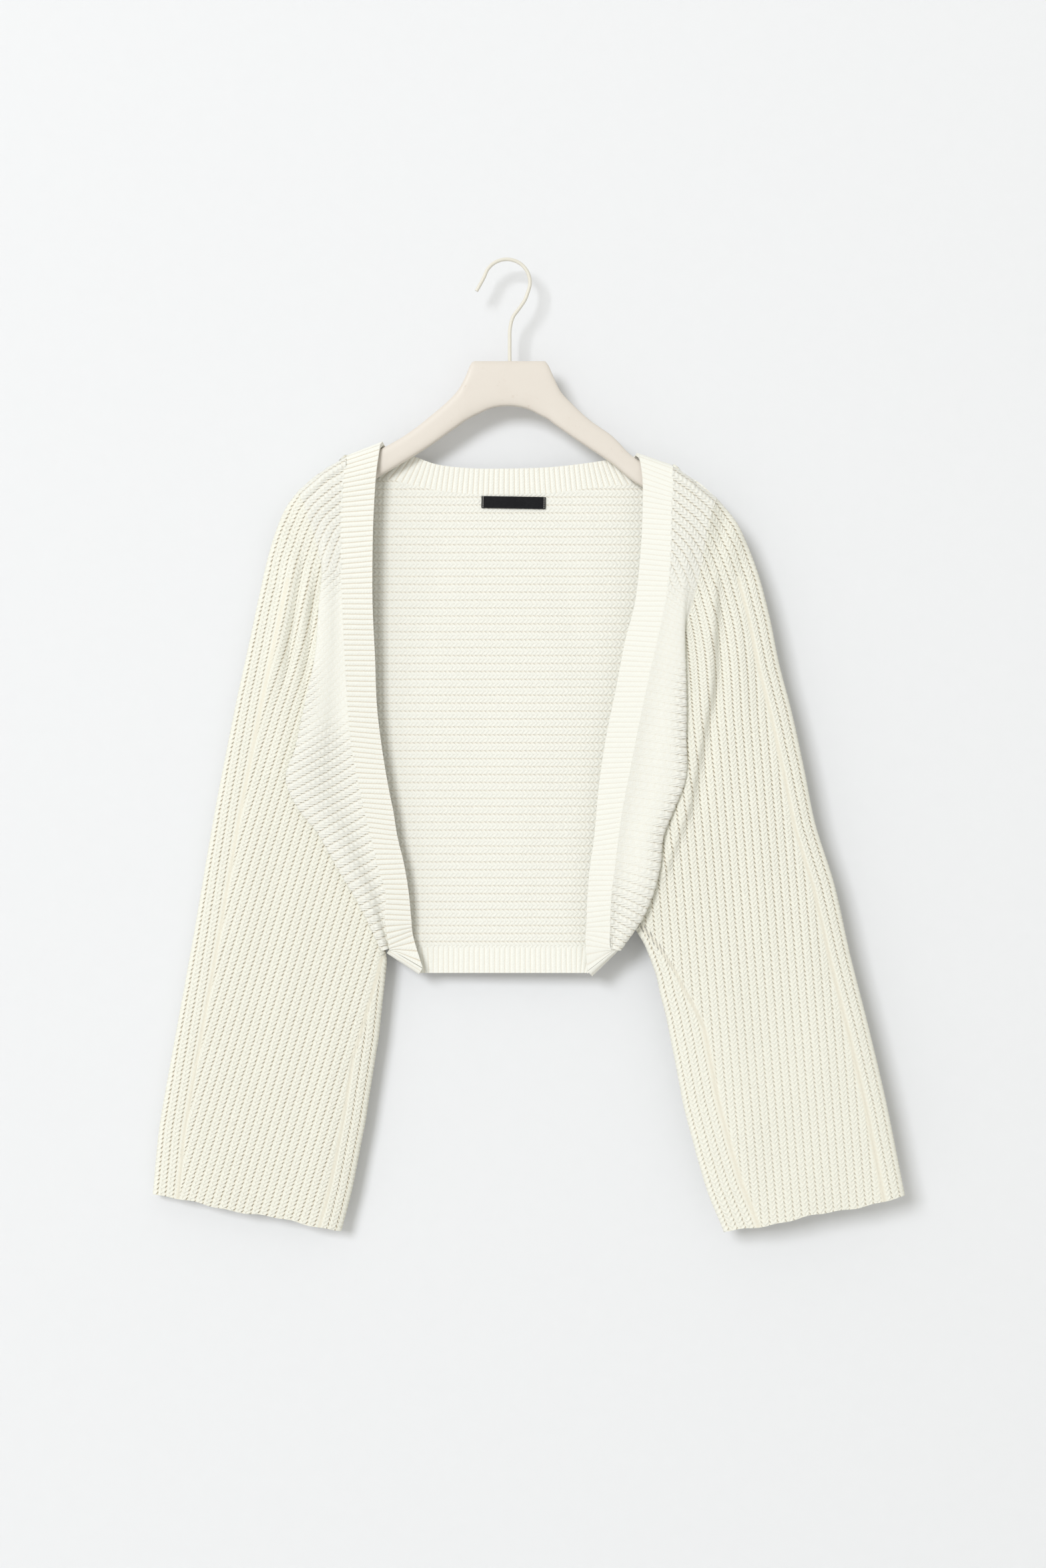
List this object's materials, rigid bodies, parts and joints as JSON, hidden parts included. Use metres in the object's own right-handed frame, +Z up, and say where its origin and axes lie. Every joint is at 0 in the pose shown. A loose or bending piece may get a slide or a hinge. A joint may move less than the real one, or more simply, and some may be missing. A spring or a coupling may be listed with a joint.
{
  "type": "knitted shrug on a hanger",
  "caption": "Open-fronted batwing shrug in chunky rib knit, hung flat on a moulded wide-shoulder hanger with a wire hook.",
  "frame": {"origin": "inside top of the hanger's hook, where the rod or wall hook carries it", "axes": "+Z up, front of the garment faces -Y, +X to the viewer's right"},
  "size_m": [0.69, 0.027, 0.8939],
  "materials": {
    "knit": "chunky half-cardigan rib knit in soft cream yarn",
    "rib": "close one-by-one rib in the same cream yarn",
    "label_tape": "black woven tape, bare",
    "hanger_moulding": "matte beige-pink moulding",
    "hook_wire": "cream coated wire"
  },
  "bodies": {
    "root": {"back": "knit", "front_left": "knit", "front_right": "knit", "sleeve_left": "knit", "sleeve_right": "knit", "neck_band": "rib", "front_band_left": "rib", "front_band_right": "rib", "hem_band": "rib", "label": "label_tape", "hanger_body": "hanger_moulding", "hanger_hook": "hook_wire"}
  },
  "joints": []
}
